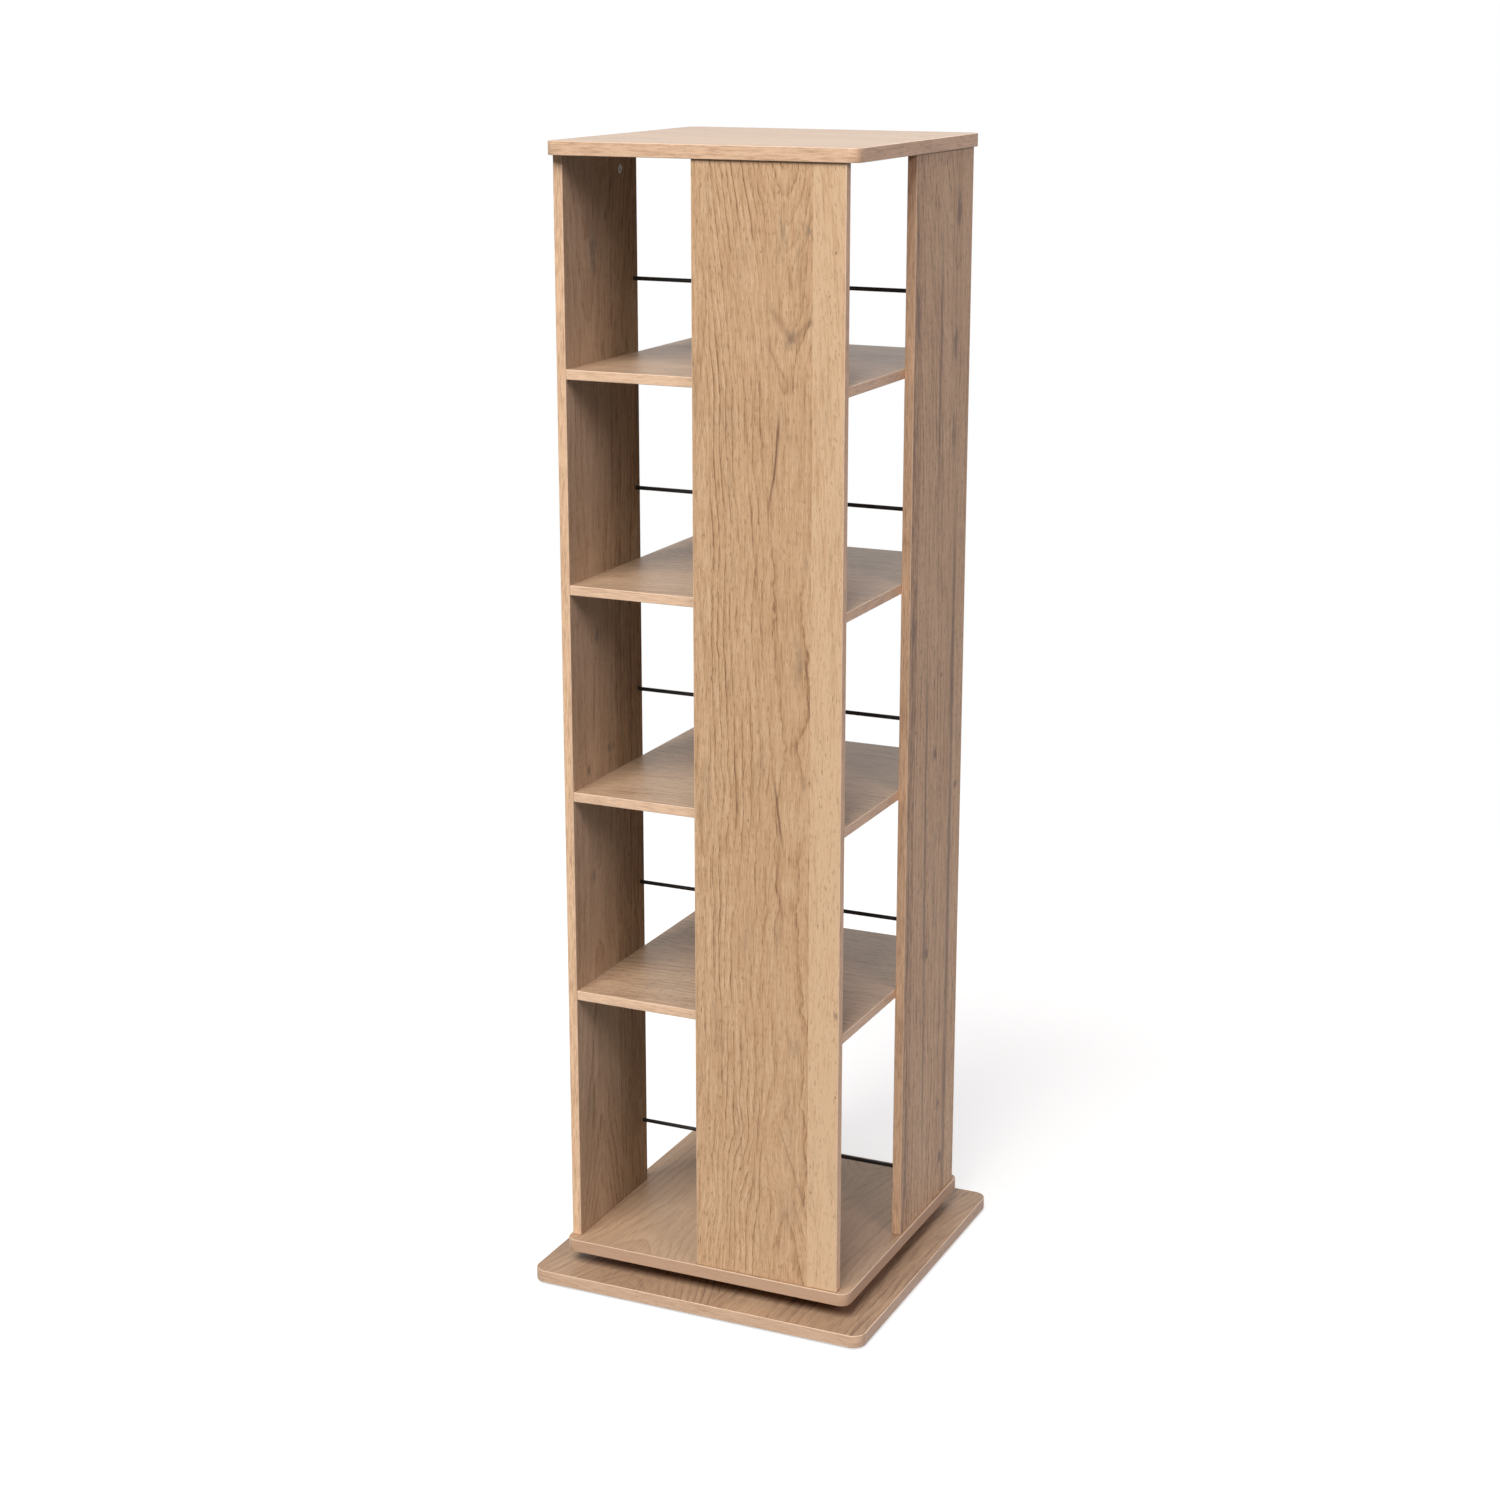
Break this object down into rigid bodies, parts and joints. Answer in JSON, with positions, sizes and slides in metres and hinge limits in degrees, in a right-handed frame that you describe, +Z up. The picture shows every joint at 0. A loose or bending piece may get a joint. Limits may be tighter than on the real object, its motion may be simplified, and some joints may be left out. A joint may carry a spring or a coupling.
{
  "type": "revolving bookcase",
  "caption": "Tall square revolving bookcase in oak-finished board, with pinwheel uprights, open corners, black guard rods and a ball swivel on a square base",
  "frame": {"origin": "on the floor, on the vertical axis of the swivel, at the middle of the base board", "axes": "+Z up along the swivel's axis; +X to the right and -Y to the front, with the front upright's outer face towards -Y"},
  "size_m": [0.454, 0.454, 1.4283],
  "materials": {
    "base_oak": "satin",
    "floor_oak": "satin",
    "upright_oak": "satin",
    "shelf_oak": "satin",
    "top_oak": "satin",
    "black_rod": "satin",
    "zinc_plate": "satin",
    "nickel_cam": "satin",
    "zinc_screw": "satin",
    "ball_steel": "polished",
    "glide_plastic": "matte"
  },
  "bodies": {
    "base": {"base_board": "base_oak", "floor_glide_1": "glide_plastic", "floor_glide_2": "glide_plastic", "floor_glide_3": "glide_plastic", "floor_glide_4": "glide_plastic", "swivel_lower_plate": "zinc_plate", "swivel_lower_screw_1": "zinc_screw", "swivel_lower_screw_2": "zinc_screw", "swivel_lower_screw_3": "zinc_screw", "swivel_lower_screw_4": "zinc_screw"},
    "ring": {"ball_ring": "ball_steel"},
    "tower": {"swivel_upper_plate": "zinc_plate", "swivel_upper_screw_1": "zinc_screw", "swivel_upper_screw_2": "zinc_screw", "swivel_upper_screw_3": "zinc_screw", "swivel_upper_screw_4": "zinc_screw", "revolving_floor": "floor_oak", "floor_screw_1": "zinc_screw", "floor_screw_2": "zinc_screw", "floor_screw_3": "zinc_screw", "floor_screw_4": "zinc_screw", "floor_screw_5": "zinc_screw", "floor_screw_6": "zinc_screw", "floor_screw_7": "zinc_screw", "floor_screw_8": "zinc_screw", "upright_front": "upright_oak", "upright_right": "upright_oak", "upright_back": "upright_oak", "upright_left": "upright_oak", "shelf_1": "shelf_oak", "shelf_2": "shelf_oak", "shelf_3": "shelf_oak", "shelf_4": "shelf_oak", "shelf_1_cam_front": "nickel_cam", "shelf_1_cam_right": "nickel_cam", "shelf_1_cam_back": "nickel_cam", "shelf_1_cam_left": "nickel_cam", "shelf_2_cam_front": "nickel_cam", "shelf_2_cam_right": "nickel_cam", "shelf_2_cam_back": "nickel_cam", "shelf_2_cam_left": "nickel_cam", "shelf_3_cam_front": "nickel_cam", "shelf_3_cam_right": "nickel_cam", "shelf_3_cam_back": "nickel_cam", "shelf_3_cam_left": "nickel_cam", "shelf_4_cam_front": "nickel_cam", "shelf_4_cam_right": "nickel_cam", "shelf_4_cam_back": "nickel_cam", "shelf_4_cam_left": "nickel_cam", "top_board": "top_oak", "top_cam_front": "nickel_cam", "top_cam_right": "nickel_cam", "top_cam_back": "nickel_cam", "top_cam_left": "nickel_cam", "guard_rod_1": "black_rod", "guard_rod_2": "black_rod", "guard_rod_3": "black_rod", "guard_rod_4": "black_rod", "guard_rod_5": "black_rod"}
  },
  "joints": [
    {"name": "tower_spin", "type": "hinge", "parent": "base", "child": "tower", "pos_m": [0, 0, 0.0288], "axis": [0, 0, 1], "continuous": true},
    {"name": "ring_spin", "type": "hinge", "parent": "base", "child": "ring", "pos_m": [0, 0, 0.0288], "axis": [0, 0, 1], "continuous": true}
  ],
  "couplings": [
    {"joint": "ring_spin", "follows": "tower_spin", "ratio": 0.5}
  ]
}
